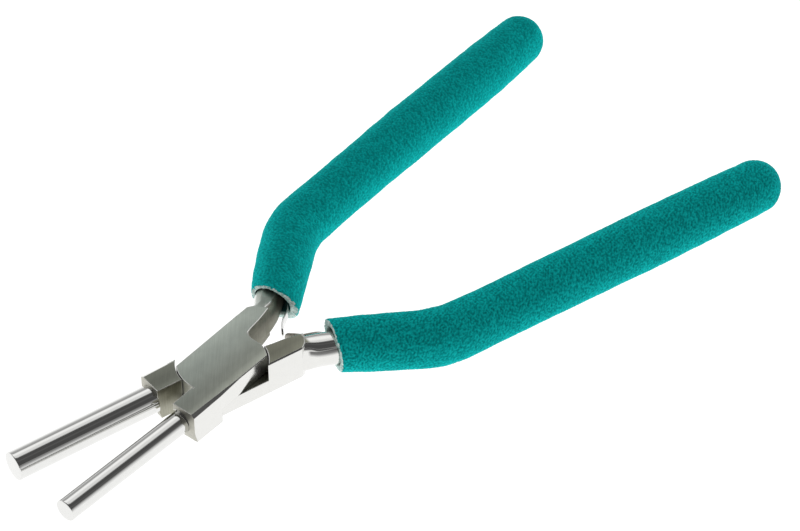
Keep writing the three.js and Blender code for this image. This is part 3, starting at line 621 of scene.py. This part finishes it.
# ---------------------------------------------------------------------------
# turned pieces: mandrels and rivets
# ---------------------------------------------------------------------------
def lathe(name, profile, start, direction, sides=144, sharp=35):
    """profile: (radius, distance) pairs from the axis to the axis; start and direction in mm, row frame less HALF_T."""
    d = np.array(direction, float)
    d /= np.linalg.norm(d)
    up = np.array([0, 0, 1.0]) if abs(d[2]) < 0.9 else np.array([1.0, 0, 0])
    a = np.cross(up, d); a /= np.linalg.norm(a)
    b = np.cross(d, a)
    t = np.linspace(0, 2 * np.pi, sides, endpoint=False)
    ringdir = np.cos(t)[:, None] * a + np.sin(t)[:, None] * b
    pts, rows = [], []
    for r, h in profile:
        if r < 1e-9:
            rows.append([len(pts)])
            pts.append(np.array(start) + d * h)
        else:
            rows.append(list(range(len(pts), len(pts) + sides)))
            pts.extend(np.array(start) + d * h + ringdir * r)
    faces = []
    for u, v in zip(rows, rows[1:]):
        for k in range(sides):
            m = (k + 1) % sides
            if len(u) == 1 and len(v) == 1:
                continue
            if len(u) == 1:
                faces.append((u[0], v[m], v[k]))
            elif len(v) == 1:
                faces.append((u[k], u[m], v[0]))
            else:
                faces.append((u[k], u[m], v[m], v[k]))
    ob = mesh_object(name, np.array(pts), faces, True, sharp)
    bm = bmesh.new()
    bm.from_mesh(ob.data)
    bmesh.ops.recalc_face_normals(bm, faces=bm.faces)
    bm.to_mesh(ob.data)
    bm.free()
    return ob


def to_row(ob, s=0):
    me = ob.data
    co = np.zeros(len(me.vertices) * 3)
    me.vertices.foreach_get("co", co)
    co = place(co.reshape(-1, 3), s)
    me.vertices.foreach_set("co", co.ravel())
    me.update()


def make_mandrel(node, body, s, y20, angle, r, seat_x, tenon_l, mat):
    a = math.radians(angle)
    d = np.array([math.cos(a), s * math.sin(a), 0.0])
    at = lambda x: np.array([x, s * (y20 + (x - 20) * math.tan(a)), 0.0])
    seat, tip = at(seat_x), at(69.9)
    L = np.linalg.norm(tip - seat)
    tenon = 2.5
    prof = [(0, -tenon_l), (tenon - 0.4, -tenon_l), (tenon, -tenon_l + 0.4), (tenon, -0.001)]
    prof += [(r - 0.04, 0.0), (r, 0.04)]
    prof += [(r, h) for h in np.linspace(1.0, L - 1.0, 40)]
    e = 0.30
    prof += [(r - e + e * math.cos(t), L - e + e * math.sin(t)) for t in np.linspace(0, math.pi / 2, 9)]
    prof += [(r * 0.5, L), (0, L)]
    ob = lathe(node + "_turned", prof, seat, d, 160, 40)
    to_row(ob, s)
    ob.data.materials.append(mat)
    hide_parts(node)
    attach(ob, body)
    return ob


def make_pivot_rivet(mat):
    h = HALF_T
    # the upper end is one with the ground plate; the pin shows below it
    prof = [(0, -h), (2.0, -h), (4.0, -h), (3.0, -h + 1.0), (3.0, h - 1.0), (3.9, h - 0.06), (2.0, h - 0.06), (0, h - 0.06)]
    ob = lathe("pivot_rivet_flush", prof, (0, 0, 0), (0, 0, 1), 96, 30)
    to_row(ob, 0)
    ob.data.materials.append(mat)
    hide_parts("pivot_rivet")
    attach(ob, "upper_half")


# ---------------------------------------------------------------------------
# leaf springs and their rivets
# ---------------------------------------------------------------------------
LEAF_LINE = [
    (-50.2, -22.6), (-46.0, -19.35), (-41.5, -15.8), (-37.2, -12.35), (-35.0, -10.3), (-33.2, -8.1),
    (-31.7, -6.4), (-29.8, -5.25), (-28.0, -4.2), (-26.4, -2.75), (-25.2, -1.4), (-24.5, -0.45),
]
LEAF_T, LEAF_H = 0.6, 3.2


def make_leaf(node, s, mat):
    pts = [(x, s * y + (0.45 if s < 0 and -36 < x < -27 else 0.0)) for x, y in LEAF_LINE]
    line = Line(pts)
    n = 150
    u = np.linspace(0, line.length - LEAF_H / 2, n - 26)
    u = np.append(u, line.length - LEAF_H / 2 * (1 - np.sin(np.linspace(0, np.pi / 2, 27)[1:] * 0.985)))
    c = line.at(u)
    h = line.heading(u)
    side = np.stack([-np.sin(h), np.cos(h)], -1)
    # rounded section, ending in a half-round toe
    sec = []
    a, b, r = LEAF_T / 2, LEAF_H / 2, 0.14
    for cx, cz, t0 in ((a - r, b - r, 0), (-a + r, b - r, 90), (-a + r, -b + r, 180), (a - r, -b + r, 270)):
        for t in np.linspace(t0, t0 + 90, 5):
            sec.append((cx + r * math.cos(math.radians(t)), cz + r * math.sin(math.radians(t))))
    sec = np.array(sec)
    m = len(sec)
    P = np.zeros((n, m, 3))
    for i in range(n):
        d = max(0.0, 1 - (line.length - u[i]) / (LEAF_H / 2))
        k = math.sqrt(max(0.0, 1 - d * d))
        thick = 1.0 if line.length - u[i] > 0.14 else 0.85
        P[i, :, :2] = c[i] + side[i] * (sec[:, :1] * thick)
        P[i, :, 2] = sec[:, 1] * k
    pts = place(P.reshape(-1, 3), 0)
    faces = list(grid_faces(n, m))
    first, last = list(range(m)), list(range((n - 1) * m, n * m))
    ob = mesh_object(node + "_strip", pts, faces + [first[::-1], last], True, 45)
    bm = bmesh.new()
    bm.from_mesh(ob.data)
    bmesh.ops.recalc_face_normals(bm, faces=bm.faces)
    bm.to_mesh(ob.data)
    bm.free()
    ob.data.materials.append(mat)
    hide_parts(node)
    foot = Vector(place([[*c[int(n * 0.25)], 0.0]], 0)[0])
    toe = Vector(place([[*c[-1], 0.0]], 0)[0])
    own, other = ("upper_half", "lower_half") if s > 0 else ("lower_half", "upper_half")
    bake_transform(ob, own, other, start=tuple(foot), end=tuple(foot + 2 * (toe - foot)))
    return ob


# ---------------------------------------------------------------------------
# foam sleeves
# ---------------------------------------------------------------------------
AXIS_POINTS = [
    (-30, -6.95), (-36.5, -10.85), (-45, -15.95), (-52, -20.15), (-57, -23.05), (-61, -24.8),
    (-65.5, -25.95), (-71, -26.35), (-80, -26.75), (-100, -27.35), (-120, -27.95), (-140, -28.4),
    (-160, -28.9), (-175, -29.3), (-190, -29.7),
]
GRIPS = {
    1: dict(profile=[(-33.6, 7.8, 0.4), (-38, 8.15, 0.25), (-44, 8.4, 0.1), (-52, 8.65, 0), (-61, 8.85, 0), (-71, 8.8, 0),
                     (-80, 8.6, 0), (-100, 8.7, 0), (-120, 8.95, 0), (-140, 8.9, 0.2), (-160, 8.85, 0.3), (-172, 8.5, 0.3),
                     (-179.8, 8.15, 0.3)], slant_in=0.36, slant_up=0.27),
    -1: dict(profile=[(-33.85, 8.1, 0), (-38, 8.4, 0), (-44, 8.65, 0), (-52, 8.75, 0), (-61, 9.0, 0), (-71, 8.85, 0),
                      (-80, 8.7, 0), (-100, 8.8, 0), (-120, 8.9, 0), (-140, 9.05, -0.15), (-160, 8.9, -0.2), (-174, 8.7, -0.2),
                      (-182, 8.5, -0.2)], slant_in=0.26, slant_up=0.04),
}


def make_grip(node, body, s, mat):
    spec = GRIPS[s]
    line = Line(AXIS_POINTS)
    prof = spec["profile"]
    xs = np.array([-p[0] for p in prof])
    u0, u1 = line.where_x(prof[0][0]), line.where_x(prof[-1][0])

    def size(u):
        x = -line.at(u)[..., 0]
        i = np.clip(np.searchsorted(xs, x, side="right") - 1, 0, len(xs) - 2)
        f = smoothstep((x - xs[i]) / (xs[i + 1] - xs[i]))
        r = np.array([p[1] for p in prof])
        h = np.array([p[2] for p in prof])
        return r[i] + (r[i + 1] - r[i]) * f, h[i] + (h[i + 1] - h[i]) * f

    cols = 184
    t = np.linspace(0, 2 * np.pi, cols, endpoint=False)

    def ring(u, r_a, r_b, across=0.0, up=0.0, along=0.0, slanted=0.0, head=None):
        c = line.at(u)
        h = line.heading(u) if head is None else head
        a = r_a * np.cos(t) + across
        b = r_b * np.sin(t) + up
        e = along - slanted * (spec["slant_in"] * s * a + spec["slant_up"] * b)
        # the other half is the mirror image in plan
        y = c[1] * s
        hd = math.atan2(s * math.sin(h), math.cos(h))
        px = c[0] + e * math.cos(hd) + a * math.sin(hd)
        py = y + e * math.sin(hd) - a * math.cos(hd)
        return np.stack([px, py, b], -1)

    rows, kind = [], []      # kind: 0 skin, 1 cut face, 2 bore
    lip = 0.45
    r0, h0 = size(u0)
    # bore, from its closed end to the mouth
    bore = [(-171.2, 0.02), (-171.2, 2.4), (-171.15, 4.5)]
    bore += [(x, 4.5) for x in np.linspace(-168, -58, 36)]
    bore += [(-56, 4.5), (-53.5, 4.85), (-51.5, 5.2), (-49, 5.5), (-47, 5.7), (-44, 5.82), (-41.5, 5.9), (-39, 5.95), (-37.5, 5.98), (-36.2, 6.0), (-35.2, 6.02)]
    for x, r in bore:
        u = line.where_x(x)
        fade = max(0.0, 1 - (u - u0) / 12.0)
        k = smoothstep((-39 - x) / -5.0 + 0.0) if x > -39 else 0.0
        rows.append(ring(u, r - 0.1 * k, r + 0.33 * k, across=-s * 0.3 * k, slanted=fade))
        kind.append(2)
    # cut face, from the bore out to the skin
    for f in np.linspace(0.0, 1.0, 9):
        ra = 5.85 + (r0 - lip - 5.85) * f
        rb = 6.35 + (r0 - lip - 6.35) * f
        rows.append(ring(u0, ra, rb, across=-s * 0.3 * (1 - f) + s * h0 * f, slanted=1.0, along=0.0))
        kind.append(1)
    # rounded lip
    for a in np.linspace(15, 90, 5):
        q = math.radians(a)
        rows.append(ring(u0, r0 - lip + lip * math.sin(q), r0 - lip + lip * math.sin(q), across=s * h0, slanted=1.0,
                         along=lip * (1 - math.cos(q))))
        kind.append(0 if a > 60 else 1)
    # skin
    step = 0.30
    n = int((u1 - u0 - 0.6) / step)
    for u in np.linspace(u0 + 0.75, u1, n):
        r, h = size(u)
        rows.append(ring(u, r, r, across=s * h, slanted=max(0.0, 1 - (u - u0) / 12.0)))
        kind.append(0)
    # round rear end
    R, hs = size(u1)
    hd = line.heading(u1)
    m = int(R * math.pi / 2 / step)
    for q in np.linspace(0, math.pi / 2, m + 1)[1:]:
        rr = max(R * math.cos(q), 0.02)
        rows.append(ring(u1, rr, rr, across=s * hs, along=R * math.sin(q), head=hd))
        kind.append(0)

    G = np.array(rows)                       # rows x cols x 3
    kind = np.array(kind)
    # surface normals from the grid
    du = np.gradient(G, axis=0)
    dv = (np.roll(G, -1, axis=1) - np.roll(G, 1, axis=1)) / 2
    N = np.cross(du, dv)
    N /= np.maximum(np.linalg.norm(N, axis=2, keepdims=True), 1e-9)
    outward = (N * (G - G.mean(1, keepdims=True))).sum(2)
    if outward[kind == 0].mean() < 0:
        N = -N
    P = G.reshape(-1, 3)
    grain = Waves(RNG_SEED + s, 0.95, 1.45, 170)(P)
    fine = Waves(RNG_SEED + 7 + s, 0.62, 0.95, 140)(P)
    lump = Waves(RNG_SEED + 13 + s, 5.0, 11.0, 60)(P)
    f = 0.5 * grain + 0.75 * fine
    high = np.tanh(f * 1.1 + 0.2)
    height = high * 0.085 + lump * 0.035
    ragged = Waves(RNG_SEED + 21 + s, 0.8, 2.2, 90)(P)
    K = np.repeat(kind, cols)
    amount = np.where(K == 0, height, np.where(K == 1, ragged * 0.07, 0.0))
    # the very ends of the grid stay in place
    rows_n = len(kind)
    calm = np.ones(rows_n)
    calm[-14:] = np.linspace(1, 0.25, 14)
    amount = amount * np.repeat(calm, cols)
    P = P + N.reshape(-1, 3) * amount[:, None]
    pts = place(P, s)
    faces = [tuple(f) for f in grid_faces(rows_n, cols)]
    first = list(range(cols))
    last = list(range((rows_n - 1) * cols, rows_n * cols))
    ob = mesh_object(node + "_foam", pts, faces + [first[::-1], last], True)
    bm = bmesh.new()
    bm.from_mesh(ob.data)
    bmesh.ops.recalc_face_normals(bm, faces=bm.faces)
    bm.to_mesh(ob.data)
    bm.free()
    me = ob.data
    pile = me.attributes.new("pile", "FLOAT", "POINT")
    pile.data.foreach_set("value", np.clip(0.5 + 0.42 * high, 0, 1).astype(np.float32))
    # how far a point lies inside the skin's folded edge, from 0 outside to 1 at the bore
    inside = np.zeros(rows_n)
    face = np.where(kind == 1)[0]
    inside[face] = np.linspace(1.25, 0.55, len(face))
    inside[kind == 2] = 1.25
    T = np.tile(t, rows_n)
    # painted shade: the whitish cut ring is narrowed and darkened over the inner upper side
    painted_rim_shade = 0.5 + 0.5 * np.cos(T - math.radians(50.0 if s > 0 else 130.0))
    cut = np.repeat(inside, cols) - 0.12 * painted_rim_shade
    # the bore rows carry painted shade: the material paints them near black
    for name, values in (("cut", np.clip(cut, 0, 1)), ("painted_bore_shade", K == 2)):
        me.attributes.new(name, "FLOAT", "POINT").data.foreach_set("value", values.astype(np.float32))
    me.materials.append(mat)
    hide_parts(node)
    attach(ob, body)
    return ob


# ---------------------------------------------------------------------------
# put together
# ---------------------------------------------------------------------------
make_camera()
make_world()
make_floor()
bpy.context.scene.view_settings.view_transform = "Standard"

steel_top = forged_steel("forged_steel_top", 1)
steel_bottom = forged_steel("forged_steel_bottom", -1)
bright = polished_steel("mandrel_steel")
spring = polished_steel("spring_steel", (0.68, 0.68, 0.67, 1.0), (0.12, 0.2), 0.4)
foam_top = foam_material("foam_teal_suede_top", 1)
foam_bottom = foam_material("foam_teal_suede_bottom", -1)

forged_copy("top_half", "upper_half", steel_top, "top_half_forging")
forged_copy("bottom_half", "lower_half", steel_bottom, "bottom_half_forging")
make_pivot_rivet(steel_top)
make_mandrel("small_mandrel", "upper_half", 1, 3.45, -1.71, 3.5, 21.35, 7.3, bright)
make_mandrel("large_mandrel", "lower_half", -1, 4.27, 0.67, 4.5, 22.2, 8.6, bright)
make_leaf("leaf_spring_top", 1, spring)
make_leaf("leaf_spring_bottom", -1, polished_steel("spring_steel_dull", (0.42, 0.405, 0.36, 1.0), (0.34, 0.46), 0.5))
for node in ("spring_rivet_top", "spring_rivet_bottom"):
    dress(NODES[node], spring)
make_grip("foam_grip_top", "upper_half", 1, foam_top)
make_grip("foam_grip_bottom", "lower_half", -1, foam_bottom)
